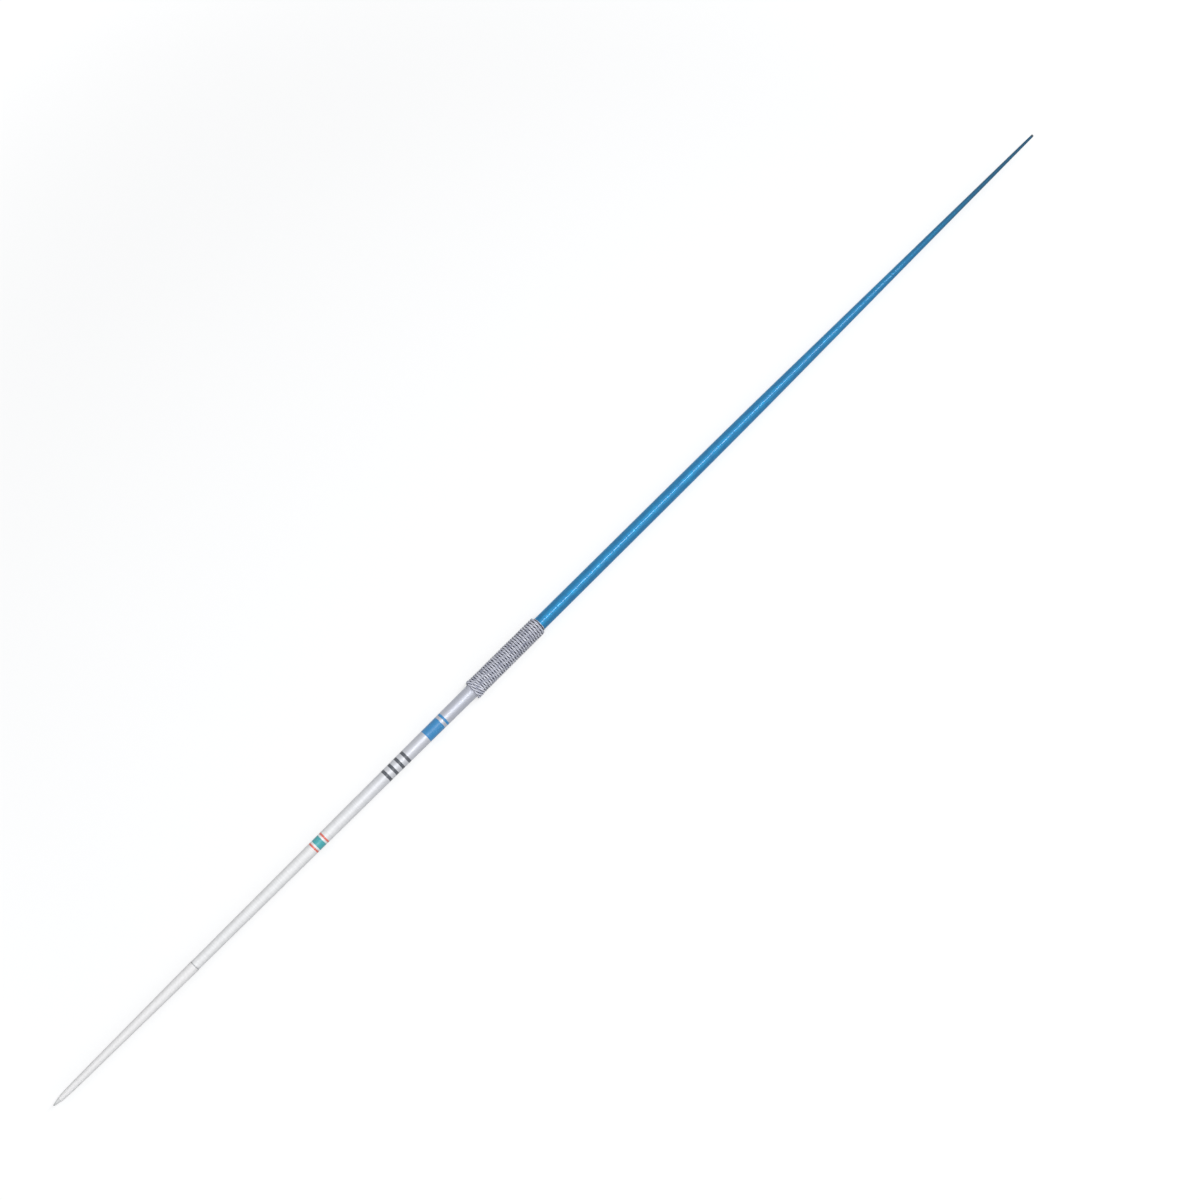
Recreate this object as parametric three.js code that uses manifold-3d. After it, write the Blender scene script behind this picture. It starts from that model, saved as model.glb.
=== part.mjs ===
import * as THREE from "three";
import { mergeVertices } from "three/addons/utils/BufferGeometryUtils.js";
import Module from "manifold-3d";

// Throwing javelin of the 600 g class, in millimetres.
// It lies on its grip with its axis along X: the point faces -X, the tail faces +X and Z is up.
// Every station is a distance back from the point, and every piece is turned about that axis.

// Whole javelin
const overallLength = 2250;
const gripFront = 821;
const gripLength = 147;
const gripShaftDiameter = 22.9;

// Clearances
const bondGap = 0.1; // film of adhesive between pieces that slide into each other
const weldGap = 0.1; // fine line where the point is let into the head
const seamGap = 0.3; // open seam between two end faces
const cordSeatGap = 0.2; // between the tape and the inside of the cord

// Point: a hardened nose cone with a stud behind it
const noseLength = 12;
const noseDiameter = 7.9;
const pointRadius = 1.1;
const studDiameter = 4;
const studLength = 16;

// Head: a turned steel cone, hollow behind its solid nose
const headLength = 259;
const headRearDiameter = 16.7;
const headBellyLength = 30;
const headBellyDiameter = 10.5;
const headWall = 1.3;
const headSolidLength = 60;
const headEdgeChamfer = 0.4;
const boreEndAngle = THREE.MathUtils.degToRad(59);

// Shaft tubes
const shaftWall = 1.55;
const shaftFrontDiameter = 15.6;
const shoulderChamfer = 0.4;
const neckLength = 55;
const neckRun = 8;
const taperStart = 1200;
const coneStart = 1540;
const coneStartDiameter = 20.3;
const tailDiameter = 4.8;

// Pieces inside the tubes
const sleeveLength = 110;
const sleeveWall = 1;
const balancePlugLength = 40;
const balancePlugInset = 6;
const innerEdgeChamfer = 0.3;

// Tail plug
const tailCapLength = 3.5;
const tailCapChamfer = 0.3;
const tailPinLength = 18;

// Grip: cord wound over a tape
const tapeThickness = 0.3;
const tapeMargin = 1;
const cordHeight = 3.4;
const cordTurnGap = 0.6;
const cordFlatShare = 0.1;
const beadRise = 1.1;

// Counts
const roundSteps = 48;
const curveSteps = 12;
const noseArcSteps = 4;
const cordTurns = 24;
const cordStepsPerTurn = 24;

// The raised first turn: how many turns it lasts and how many it takes to run down to the rest
const beadTurns = 1.1;
const beadFadeTurns = 0.35;
// It is pressed down where the javelin lies on it, between these angles from straight down
const pressedInner = THREE.MathUtils.degToRad(20);
const pressedOuter = THREE.MathUtils.degToRad(60);

// Finishes
const finishes = {
  hardenedSteel: { color: 0xc9cbcd, roughness: 0.32, metalness: 1 },
  turnedSteel: { color: 0xd6d7d9, roughness: 0.34, metalness: 1 },
  satinAluminium: { color: 0xe3e5ea, roughness: 0.38, metalness: 0.9 },
  blueAnodised: { color: 0x2c7cb4, roughness: 0.28, metalness: 0.6 },
  plainAluminium: { color: 0xb9bcc0, roughness: 0.5, metalness: 0.9 },
  darkSteel: { color: 0x7b7f83, roughness: 0.5, metalness: 0.9 },
  greyPlastic: { color: 0x3c4b54, roughness: 0.55, metalness: 0 },
  paleTape: { color: 0xd9dbe4, roughness: 0.9, metalness: 0 },
  greyCord: { color: 0xaeb1bf, roughness: 0.85, metalness: 0 },
};

// Sizes that follow from the ones above
const gripShaftRadius = gripShaftDiameter / 2;
const shaftBoreRadius = gripShaftRadius - shaftWall;
const gripRear = gripFront + gripLength;
const jointStation = (gripFront + gripRear) / 2;
const shoulderStation = headLength + seamGap;
const neckFront = shoulderStation - neckLength;
const tailTubeEnd = overallLength - tailCapLength - seamGap;
const tailRadius = tailDiameter / 2;
const tapeInnerRadius = gripShaftRadius + bondGap;
const tapeOuterRadius = tapeInnerRadius + tapeThickness;
const cordInnerRadius = tapeOuterRadius + cordSeatGap;
const gripOuterRadius = cordInnerRadius + cordHeight;
const cordFlatDepth = cordHeight * cordFlatShare;
const axisHeight = gripOuterRadius - cordFlatDepth;

const wasm = await Module();
wasm.setup();

const javelin = new THREE.Group();
javelin.position.set(-overallLength / 2, 0, axisHeight);

// A mesh with its finish, placed by the javelin's own group.
function addPiece(name, geometry, finish) {
  const mesh = new THREE.Mesh(geometry, new THREE.MeshStandardMaterial(finish));
  mesh.name = name;
  javelin.add(mesh);
}

// A turned piece. Its outline is a list of [station, radius] that runs back along the outside
// and forward again along the inside, either from axis to axis or round to its first point.
function addTurned(name, outline, finish) {
  const profile = outline.map(([station, radius]) => new THREE.Vector2(radius, station));
  const geometry = new THREE.LatheGeometry(profile, roundSteps);
  geometry.rotateZ(-Math.PI / 2);
  addPiece(name, geometry, finish);
}

// Points of a smooth stretch between two stations, bent towards a corner point.
function bentStretch(from, corner, to) {
  const curve = new THREE.QuadraticBezierCurve(
    new THREE.Vector2(...from),
    new THREE.Vector2(...corner),
    new THREE.Vector2(...to),
  );
  return curve.getPoints(curveSteps).map((point) => [point.x, point.y]);
}

// Point: a ball end that runs out tangent into the cone, a square rear face and the stud.
function addHeadTip() {
  const noseRadius = noseDiameter / 2;
  const run = noseLength - pointRadius;
  const reach = Math.hypot(run, noseRadius);
  const coneAngle = Math.atan2(noseRadius, run) - Math.asin(pointRadius / reach);
  const arcEnd = Math.PI / 2 - coneAngle;
  const arc = [];
  for (let step = 0; step <= noseArcSteps; step += 1) {
    const angle = (arcEnd * step) / noseArcSteps;
    arc.push([pointRadius - pointRadius * Math.cos(angle), pointRadius * Math.sin(angle)]);
  }
  const studRadius = studDiameter / 2;
  const studEnd = noseLength + studLength;
  addTurned("head_tip", [
    ...arc,
    [noseLength, noseRadius],
    [noseLength, studRadius],
    [studEnd - innerEdgeChamfer, studRadius],
    [studEnd, studRadius - innerEdgeChamfer],
    [studEnd, 0],
  ], finishes.hardenedSteel);
}

// Outside of the head along its straight taper, which starts where the belly ends.
function headRadiusAt(station) {
  const bellyEnd = noseLength + headBellyLength;
  const rise = (headRearDiameter - headBellyDiameter) / 2;
  return headBellyDiameter / 2 + (rise * (station - bellyEnd)) / (headLength - bellyEnd);
}

// Outside of the tube's neck, which fills the head's tapered bore but for the adhesive.
function neckRadiusAt(station) {
  return headRadiusAt(station) - headWall - bondGap;
}

// Head: a belly behind the point, then a straight taper to the rear lip. Its bore follows the
// taper at the thickness of the wall and takes the neck of the shaft.
function addHead() {
  const frontFace = noseLength + weldGap;
  const studHoleRadius = studDiameter / 2 + bondGap;
  const studHoleEnd = noseLength + studLength + weldGap;
  const bellyEnd = noseLength + headBellyLength;
  const cornerStation = noseLength + headBellyLength / 2;
  const boreEndRadius = headRadiusAt(headSolidLength) - headWall;
  const boreTip = headSolidLength - boreEndRadius / Math.tan(boreEndAngle);
  addTurned("head", [
    [studHoleEnd, 0],
    [studHoleEnd, studHoleRadius],
    [frontFace, studHoleRadius],
    ...bentStretch(
      [frontFace, noseDiameter / 2],
      [cornerStation, headRadiusAt(cornerStation)],
      [bellyEnd, headRadiusAt(bellyEnd)],
    ),
    [headLength - headEdgeChamfer, headRadiusAt(headLength - headEdgeChamfer)],
    [headLength, headRadiusAt(headLength) - headEdgeChamfer],
    [headLength, headRadiusAt(headLength) - headWall],
    [headSolidLength, boreEndRadius],
    [boreTip, 0],
  ], finishes.turnedSteel);
}

// Front tube: a tapered neck inside the head, a shoulder behind the seam, then one long taper
// out to the grip. The bore follows the outside at the thickness of the wall.
function addFrontShaft() {
  const frontRadius = shaftFrontDiameter / 2;
  const taper = (gripShaftRadius - frontRadius) / (gripFront - shoulderStation);
  const bendStation = shoulderStation + neckRun;
  const tubeEnd = jointStation - seamGap / 2;
  addTurned("front_shaft", [
    [neckFront, neckRadiusAt(neckFront) - shaftWall],
    [neckFront, neckRadiusAt(neckFront) - innerEdgeChamfer],
    [neckFront + innerEdgeChamfer, neckRadiusAt(neckFront + innerEdgeChamfer)],
    [shoulderStation, neckRadiusAt(shoulderStation)],
    [shoulderStation, frontRadius - shoulderChamfer],
    [shoulderStation + shoulderChamfer, frontRadius],
    [gripFront, gripShaftRadius],
    [tubeEnd, gripShaftRadius],
    [tubeEnd, shaftBoreRadius],
    [gripFront, shaftBoreRadius],
    [bendStation, frontRadius + taper * neckRun - shaftWall],
    [shoulderStation, neckRadiusAt(shoulderStation) - shaftWall],
    [neckFront, neckRadiusAt(neckFront) - shaftWall],
  ], finishes.satinAluminium);
}

// Rear tube: a straight stretch behind the grip, a long bend, then a straight cone to the tail.
function addRearShaft() {
  const tubeStart = jointStation + seamGap / 2;
  const coneRadius = coneStartDiameter / 2;
  const coneTaper = (coneRadius - tailRadius) / (tailTubeEnd - coneStart);
  const cornerStation = coneStart - (gripShaftRadius - coneRadius) / coneTaper;
  const outside = [
    [tubeStart, gripShaftRadius],
    ...bentStretch(
      [taperStart, gripShaftRadius],
      [cornerStation, gripShaftRadius],
      [coneStart, coneRadius],
    ),
    [tailTubeEnd, tailRadius],
  ];
  const inside = outside.map(([station, radius]) => [station, radius - shaftWall]).reverse();
  addTurned("rear_shaft", [...outside, ...inside, outside[0]], finishes.blueAnodised);
}

// Sleeve that bridges the joint between the two tubes, hidden under the grip.
function addJointSleeve() {
  const outer = shaftBoreRadius - bondGap;
  const inner = outer - sleeveWall;
  const front = jointStation - sleeveLength / 2;
  const rear = jointStation + sleeveLength / 2;
  addTurned("joint_sleeve", [
    [front, inner],
    [front, outer - innerEdgeChamfer],
    [front + innerEdgeChamfer, outer],
    [rear - innerEdgeChamfer, outer],
    [rear, outer - innerEdgeChamfer],
    [rear, inner],
    [front, inner],
  ], finishes.plainAluminium);
}

// Steel plug bonded into the neck of the front tube, which brings the javelin to its weight.
// It has the taper of the neck's bore.
function addBalancePlug() {
  const front = neckFront + balancePlugInset;
  const rear = front + balancePlugLength;
  const plugRadiusAt = (station) => neckRadiusAt(station) - shaftWall - bondGap;
  addTurned("balance_plug", [
    [front, 0],
    [front, plugRadiusAt(front) - innerEdgeChamfer],
    [front + innerEdgeChamfer, plugRadiusAt(front + innerEdgeChamfer)],
    [rear - innerEdgeChamfer, plugRadiusAt(rear - innerEdgeChamfer)],
    [rear, plugRadiusAt(rear) - innerEdgeChamfer],
    [rear, 0],
  ], finishes.darkSteel);
}

// Plug that closes the thin end of the rear tube: a flat cap and a pin in the bore.
function addTailPlug() {
  const capFront = overallLength - tailCapLength;
  const pinRadius = tailRadius - shaftWall - bondGap;
  const pinFront = tailTubeEnd - tailPinLength;
  addTurned("tail_plug", [
    [pinFront, 0],
    [pinFront, pinRadius],
    [capFront, pinRadius],
    [capFront, tailRadius],
    [overallLength - tailCapChamfer, tailRadius],
    [overallLength, tailRadius - tailCapChamfer],
    [overallLength, 0],
  ], finishes.greyPlastic);
}

// Cloth tape on the shaft, which the cord is wound on. It shows as a thin edge at both ends.
function addGripTape() {
  const front = gripFront - tapeMargin;
  const rear = gripRear + tapeMargin;
  addTurned("grip_tape", [
    [front, tapeInnerRadius],
    [front, tapeOuterRadius],
    [rear, tapeOuterRadius],
    [rear, tapeInnerRadius],
    [front, tapeInnerRadius],
  ], finishes.paleTape);
}

// Extra height of the cord at an angle along the winding: the first turn rides up over the
// cord's own tucked end, except where the javelin lies on it.
function beadHeight(windingAngle) {
  const turnsDone = windingAngle / (2 * Math.PI);
  const fadeEnd = beadTurns + beadFadeTurns;
  const fade = 1 - THREE.MathUtils.smoothstep(turnsDone, beadTurns, fadeEnd);
  const fromDown = Math.acos(-Math.sin(windingAngle));
  const lift = THREE.MathUtils.smoothstep(fromDown, pressedInner, pressedOuter);
  return beadRise * fade * lift;
}

// One six-sided section of the cord: two flats, in and out, and two edges that face the
// neighbouring turns. Its corners are shares of the half width and of the height.
const sectionCornerShares = [
  [-1, 0.5],
  [-0.5, 1],
  [0.5, 1],
  [1, 0.5],
  [0.5, 0],
  [-0.5, 0],
];

// Grip cord: one unbroken tube that winds from the front of the grip to its rear, with a short
// straight run at each end. Seen from the front it runs back up the right side and over the top.
function cordRings() {
  const pitch = (gripLength + cordTurnGap) / (cordTurns + 1);
  const halfWidth = (pitch - cordTurnGap) / 2;
  const firstStation = gripFront + halfWidth;
  const steps = cordTurns * cordStepsPerTurn;
  const ringAt = (windingAngle, runOut) => {
    const station = firstStation + (pitch * windingAngle) / (2 * Math.PI);
    const height = cordHeight + beadHeight(windingAngle);
    const middle = cordInnerRadius + height / 2;
    const slope = pitch / (2 * Math.PI * middle);
    const along = runOut / Math.hypot(1, slope);
    return sectionCornerShares.map(([widthShare, heightShare]) => {
      const radius = cordInnerRadius + height * heightShare;
      return new THREE.Vector3(
        station + halfWidth * widthShare + along * slope,
        along * Math.sin(windingAngle) - radius * Math.cos(windingAngle),
        along * Math.cos(windingAngle) + radius * Math.sin(windingAngle),
      );
    });
  };
  const rings = [ringAt(0, -cordHeight)];
  for (let step = 0; step <= steps; step += 1) {
    rings.push(ringAt((2 * Math.PI * step) / cordStepsPerTurn, 0));
  }
  rings.push(ringAt((2 * Math.PI * steps) / cordStepsPerTurn, cordHeight));
  return rings;
}

// Least distance between points of the cord that lie at least half a turn apart.
function leastTurnGap(rings) {
  let least = Infinity;
  for (let first = 0; first < rings.length; first += 1) {
    const last = Math.min(rings.length, first + 2 * cordStepsPerTurn);
    for (let second = first + cordStepsPerTurn / 2; second < last; second += 1) {
      for (const a of rings[first]) {
        for (const b of rings[second]) least = Math.min(least, a.distanceTo(b));
      }
    }
  }
  return least;
}

// The rings joined into one closed skin, with a flat cap at each end.
function cordGeometry(rings) {
  const sides = sectionCornerShares.length;
  const positions = rings.flat().flatMap((point) => [point.x, point.y, point.z]);
  const faces = [];
  for (let ring = 0; ring + 1 < rings.length; ring += 1) {
    for (let side = 0; side < sides; side += 1) {
      const next = (side + 1) % sides;
      const a = ring * sides + side;
      const b = ring * sides + next;
      const c = (ring + 1) * sides + next;
      const d = (ring + 1) * sides + side;
      faces.push(a, b, c, a, c, d);
    }
  }
  const lastRing = (rings.length - 1) * sides;
  for (let side = 1; side + 1 < sides; side += 1) {
    faces.push(0, side + 1, side);
    faces.push(lastRing, lastRing + side, lastRing + side + 1);
  }
  const geometry = new THREE.BufferGeometry();
  geometry.setAttribute("position", new THREE.Float32BufferAttribute(positions, 3));
  geometry.setIndex(faces);
  return geometry;
}

// A closed geometry as a solid that can be cut.
function solidFrom(geometry) {
  const plain = geometry.clone();
  plain.deleteAttribute("normal");
  plain.deleteAttribute("uv");
  const merged = mergeVertices(plain);
  const vertProperties = merged.attributes.position.array;
  const triVerts = new Uint32Array(merged.index.array);
  return new wasm.Manifold(new wasm.Mesh({ numProp: 3, vertProperties, triVerts }));
}

// A cut solid as a geometry with normals.
function geometryFrom(solid) {
  const { vertProperties, triVerts } = solid.getMesh();
  const geometry = new THREE.BufferGeometry();
  geometry.setAttribute("position", new THREE.BufferAttribute(vertProperties, 3));
  geometry.setIndex(new THREE.BufferAttribute(triVerts, 1));
  geometry.computeVertexNormals();
  return geometry;
}

// The winding is cut flat where the javelin lies on it.
function addGripCord() {
  const rings = cordRings();
  console.log("grip_cord least gap between turns: " + leastTurnGap(rings).toFixed(3) + " mm");
  const blockDepth = gripOuterRadius;
  const block = new THREE.BoxGeometry(gripLength * 2, gripOuterRadius * 2, blockDepth);
  block.translate((gripFront + gripRear) / 2, 0, -axisHeight - blockDepth / 2);
  const winding = solidFrom(cordGeometry(rings)).subtract(solidFrom(block));
  addPiece("grip_cord", geometryFrom(winding), finishes.greyCord);
}

addHeadTip();
addHead();
addBalancePlug();
addFrontShaft();
addJointSleeve();
addRearShaft();
addTailPlug();
addGripTape();
addGripCord();

export default javelin;
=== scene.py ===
import math

import bpy
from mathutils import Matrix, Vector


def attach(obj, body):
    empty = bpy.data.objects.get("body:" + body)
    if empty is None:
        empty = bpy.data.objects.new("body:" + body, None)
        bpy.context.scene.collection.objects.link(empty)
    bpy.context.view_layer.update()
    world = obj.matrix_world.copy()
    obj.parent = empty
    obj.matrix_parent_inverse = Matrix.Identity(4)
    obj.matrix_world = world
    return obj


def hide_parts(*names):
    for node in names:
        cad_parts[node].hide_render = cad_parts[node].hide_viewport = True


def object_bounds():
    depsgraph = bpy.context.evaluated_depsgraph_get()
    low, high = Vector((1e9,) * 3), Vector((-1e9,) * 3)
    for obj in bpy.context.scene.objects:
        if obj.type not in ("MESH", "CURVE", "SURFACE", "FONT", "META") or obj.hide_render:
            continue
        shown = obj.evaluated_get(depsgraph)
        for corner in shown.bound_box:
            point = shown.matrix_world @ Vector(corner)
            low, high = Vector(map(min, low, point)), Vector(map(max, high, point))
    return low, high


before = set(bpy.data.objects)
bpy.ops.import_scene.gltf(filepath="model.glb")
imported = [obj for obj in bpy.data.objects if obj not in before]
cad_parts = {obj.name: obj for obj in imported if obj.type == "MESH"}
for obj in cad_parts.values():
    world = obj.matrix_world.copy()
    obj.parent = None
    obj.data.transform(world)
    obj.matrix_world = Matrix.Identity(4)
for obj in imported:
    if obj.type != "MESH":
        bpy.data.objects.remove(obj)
cad_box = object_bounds()


# Floor, sky and lamps. A wide pale floor and a plain studio: a broad soft box overhead, a long
# narrow one below it in line with the javelin, which draws its highlight, and a dim even sky.
FLOOR_SIZE = 24.0
LIFT_NEAR = 0.545
LIFT_STARTS = 0.9
LIFT_FULL = 2.9
WHITE = (1, 1, 1, 1)


def paint(colour_hex):
    """An sRGB hex colour as the linear colour that a socket takes."""
    shares = [int(colour_hex[place:place + 2], 16) / 255 for place in (0, 2, 4)]
    linear = [s / 12.92 if s <= 0.04045 else ((s + 0.055) / 1.055) ** 2.4 for s in shares]
    return (*linear, 1.0)


def add_node(tree, kind, settings=(), links=()):
    """Adds a node, sets its sockets or properties, and links other nodes' outputs to it."""
    node = tree.nodes.new(kind)
    for name, value in dict(settings).items():
        if isinstance(name, int) or name in node.inputs:
            node.inputs[name].default_value = value
        else:
            setattr(node, name, value)
    for name, output in dict(links).items():
        tree.links.new(output, node.inputs[name])
    return node


def new_material(name):
    """A material with an empty node tree."""
    material = bpy.data.materials.new(name)
    material.use_nodes = True
    material.node_tree.nodes.clear()
    return material


def seen_directly(tree):
    """1 for rays that show the background itself: from the camera, in gloss and through glass."""
    ray = add_node(tree, "ShaderNodeLightPath")
    either = add_node(tree, "ShaderNodeMath", {"operation": "MAXIMUM"}, {
        0: ray.outputs["Is Camera Ray"], 1: ray.outputs["Is Glossy Ray"],
    })
    return add_node(tree, "ShaderNodeMath", {"operation": "MAXIMUM"}, {
        0: either.outputs[0], 1: ray.outputs["Is Transmission Ray"],
    }).outputs[0]


bpy.ops.object.select_all(action="DESELECT")
bpy.ops.mesh.primitive_plane_add(size=FLOOR_SIZE, location=(0, 0, 0))
studio_floor = bpy.context.object
studio_floor.name = "studio_floor"

# Matt pale paper. The camera sees it lifted just to white, and more so far out, where the lamps
# reach it less, so the javelin's faint shadow stays on it.
pale_paper = new_material("pale_paper")
tree = pale_paper.node_tree
matt = add_node(tree, "ShaderNodeBsdfDiffuse", {"Color": paint("b4b5b6"), "Roughness": 0.6})
place = add_node(tree, "ShaderNodeTexCoord").outputs["Object"]
far = add_node(tree, "ShaderNodeVectorMath", {"operation": "LENGTH"}, {0: place})
lift_there = add_node(tree, "ShaderNodeMapRange", {
    "interpolation_type": "SMOOTHSTEP", "From Min": LIFT_STARTS, "From Max": LIFT_FULL,
    "To Min": LIFT_NEAR, "To Max": 1.0,
}, {"Value": far.outputs["Value"]})
lift = add_node(tree, "ShaderNodeMath", {"operation": "MULTIPLY"}, {
    0: seen_directly(tree), 1: lift_there.outputs["Result"],
})
glow = add_node(tree, "ShaderNodeEmission", {"Color": WHITE}, {"Strength": lift.outputs[0]})
both = add_node(tree, "ShaderNodeAddShader", (), {0: matt.outputs[0], 1: glow.outputs[0]})
add_node(tree, "ShaderNodeOutputMaterial", (), {"Surface": both.outputs[0]})
studio_floor.data.materials.append(pale_paper)

# The sky is white to the camera and in the javelin's metal. The light that it gives is dim, and
# falls to a third near the ground, as it does between the walls of a studio.
studio_sky = bpy.data.worlds.new("studio_sky")
bpy.context.scene.world = studio_sky
studio_sky.use_nodes = True
tree = studio_sky.node_tree
tree.nodes.clear()
heading = add_node(tree, "ShaderNodeTexCoord")
height = add_node(tree, "ShaderNodeSeparateXYZ", (), {0: heading.outputs["Generated"]})
dome = add_node(tree, "ShaderNodeMapRange", {
    "interpolation_type": "SMOOTHSTEP", "From Min": -0.1, "From Max": 0.6,
    "To Min": 0.11, "To Max": 0.36,
}, {"Value": height.outputs["Z"]})
level = add_node(tree, "ShaderNodeMix", {"data_type": "FLOAT", "B": 1.0}, {
    "Factor": seen_directly(tree), "A": dome.outputs["Result"],
})
sky = add_node(tree, "ShaderNodeBackground", {"Color": WHITE}, {
    "Strength": level.outputs["Result"],
})
add_node(tree, "ShaderNodeOutputWorld", (), {"Surface": sky.outputs[0]})


def soft_box(name, place, width, depth, watts):
    """A rectangular area lamp that faces the line of the javelin."""
    bpy.ops.object.light_add(type="AREA", location=place)
    lamp = bpy.context.object
    lamp.name = name
    lamp.data.shape = "RECTANGLE"
    lamp.data.size = width
    lamp.data.size_y = depth
    lamp.data.energy = watts
    lean = math.atan2(-place[1], place[2])
    lamp.rotation_euler = (lean, 0, 0)


soft_box("broad_soft_box", place=(-0.4, -0.82, 2.55), width=6.4, depth=5.4, watts=44)
soft_box("long_soft_box", place=(0.1, -0.62, 2.37), width=4.6, depth=0.3, watts=52)


# Camera: above the javelin and a little to its right, nearer to the point than to the tail. The
# angles are in degrees, and the lens and the sensor in millimetres.
CAMERA_PLACE = (-0.5565, -0.5097, 1.9559)
CAMERA_LOOKS_DOWN = 70.63
CAMERA_HEADING = 43.31
LENS = 39
SENSOR_WIDTH = 36

tilt = math.radians(90 - CAMERA_LOOKS_DOWN)
turn = math.radians(CAMERA_HEADING - 90)
bpy.ops.object.camera_add(location=CAMERA_PLACE, rotation=(tilt, 0, turn))
camera = bpy.context.object
camera.data.lens = LENS
camera.data.sensor_width = SENSOR_WIDTH
bpy.context.scene.camera = camera
bpy.context.scene.view_settings.view_transform = "Standard"


# Point: the hardened steel nose cone let into the front of the head. It is ground to a small ball
# end and stands on a stud in the head, so only the cone and its square shoulder show. From here
# on, sizes are in millimetres, and the scale of a pattern is its number of grains in a metre.
MM = 0.001
POINT_X = cad_box[0][0]
AXIS_HEIGHT = 15.11 * MM
SIDES = 96
NOSE_LENGTH = 12.0
NOSE_RADIUS = 3.95
BALL_RADIUS = 1.1
BALL_STEPS = 12
SHOULDER_EDGE = 0.25
STUD_END = 28.0
STUD_RADIUS = 2.0
STUD_CHAMFER = 0.3
SCUFF_START = 1.0
SCUFF_END = 8.0
GRIND_RINGS = 1400
GRIND_RING_RUNS = 40
SCUFF_GRAINS = 1600


def x_at(station):
    """Where a station, in millimetres back from the point, lies along the scene's x axis."""
    return POINT_X + station * MM


def turned(name, outline):
    """A piece turned about the javelin's axis.

    The outline is a list of (station, radius). It is drawn ring by ring from a circle, and is
    either closed by a disc at both ends or comes back to its first point.
    """
    bpy.ops.object.select_all(action="DESELECT")
    station, radius = outline[0]
    closed_loop = outline[0] == outline[-1]
    bpy.ops.mesh.primitive_circle_add(
        vertices=SIDES, radius=radius * MM, fill_type="NOTHING" if closed_loop else "NGON",
        location=(x_at(station), 0, AXIS_HEIGHT), rotation=(0, math.pi / 2, 0),
    )
    piece = bpy.context.object
    piece.name = name
    piece.data.name = name
    bpy.ops.object.transform_apply(location=True, rotation=True, scale=True)
    bpy.ops.object.mode_set(mode="EDIT")
    bpy.ops.mesh.select_all(action="SELECT")
    for next_station, next_radius in outline[1:]:
        step = ((next_station - station) * MM, 0, 0)
        bpy.ops.mesh.extrude_edges_move(TRANSFORM_OT_translate={"value": step})
        if next_radius != radius:
            share = next_radius / radius
            centre = (x_at(next_station), 0, AXIS_HEIGHT)
            bpy.ops.transform.resize(value=(1, share, share), center_override=centre)
        station, radius = next_station, next_radius
    if not closed_loop:
        bpy.ops.mesh.edge_face_add()
    bpy.ops.mesh.select_all(action="SELECT")
    bpy.ops.mesh.remove_doubles(threshold=MM / 1000)
    bpy.ops.mesh.normals_make_consistent(inside=False)
    bpy.ops.object.mode_set(mode="OBJECT")
    bpy.ops.object.shade_smooth_by_angle(angle=math.radians(25))
    return piece


cone_length = NOSE_LENGTH - BALL_RADIUS
cone_angle = math.atan2(NOSE_RADIUS, cone_length)
cone_angle -= math.asin(BALL_RADIUS / math.hypot(cone_length, NOSE_RADIUS))
ball = []
for step in range(1, BALL_STEPS + 1):
    turn = (math.pi / 2 - cone_angle) * step / BALL_STEPS
    ball.append((BALL_RADIUS - BALL_RADIUS * math.cos(turn), BALL_RADIUS * math.sin(turn)))
head_tip = turned("nose_cone", [
    *ball,
    (NOSE_LENGTH - SHOULDER_EDGE, NOSE_RADIUS - SHOULDER_EDGE * 0.32),
    (NOSE_LENGTH, NOSE_RADIUS - SHOULDER_EDGE), (NOSE_LENGTH, STUD_RADIUS),
    (STUD_END - STUD_CHAMFER, STUD_RADIUS), (STUD_END, STUD_RADIUS - STUD_CHAMFER),
])

# Hardened tool steel, ground bright. Fine ground rings catch the light, and the first
# millimetres that strike the ground are scuffed duller and a little darker.
hardened_steel = new_material("ground_hardened_steel")
tree = hardened_steel.node_tree
place = add_node(tree, "ShaderNodeTexCoord").outputs["Object"]
rings_scale = add_node(tree, "ShaderNodeMapping", {
    "Scale": (GRIND_RINGS, GRIND_RING_RUNS, GRIND_RING_RUNS),
}, {"Vector": place})
rings = add_node(tree, "ShaderNodeTexNoise", {"Scale": 1.0, "Detail": 3.0, "Roughness": 0.6}, {
    "Vector": rings_scale.outputs[0],
})
along = add_node(tree, "ShaderNodeSeparateXYZ", (), {0: place})
scuff_reach = add_node(tree, "ShaderNodeMapRange", {
    "From Min": x_at(SCUFF_START), "From Max": x_at(SCUFF_END), "To Min": 1.0, "To Max": 0.0,
}, {"Value": along.outputs["X"]})
scuffs = add_node(tree, "ShaderNodeTexNoise", {"Scale": SCUFF_GRAINS, "Detail": 4.0}, {
    "Vector": place,
})
scuffed = add_node(tree, "ShaderNodeMath", {"operation": "MULTIPLY"}, {
    0: scuff_reach.outputs["Result"], 1: scuffs.outputs["Fac"],
})
tone = add_node(tree, "ShaderNodeMix", {
    "data_type": "RGBA", "A": paint("c6c7c8"), "B": paint("86888a"),
}, {"Factor": scuffed.outputs[0]})
gloss = add_node(tree, "ShaderNodeMapRange", {"To Min": 0.44, "To Max": 0.7}, {
    "Value": scuffed.outputs[0],
})
relief = add_node(tree, "ShaderNodeBump", {"Strength": 0.25, "Distance": 0.04 * MM}, {
    "Height": rings.outputs["Fac"],
})
steel = add_node(tree, "ShaderNodeBsdfPrincipled", {"Metallic": 1.0}, {
    "Base Color": tone.outputs["Result"], "Roughness": gloss.outputs["Result"],
    "Normal": relief.outputs["Normal"],
})
add_node(tree, "ShaderNodeOutputMaterial", (), {"Surface": steel.outputs[0]})
head_tip.data.materials.append(hardened_steel)
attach(head_tip, "root")
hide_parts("head_tip")


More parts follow.
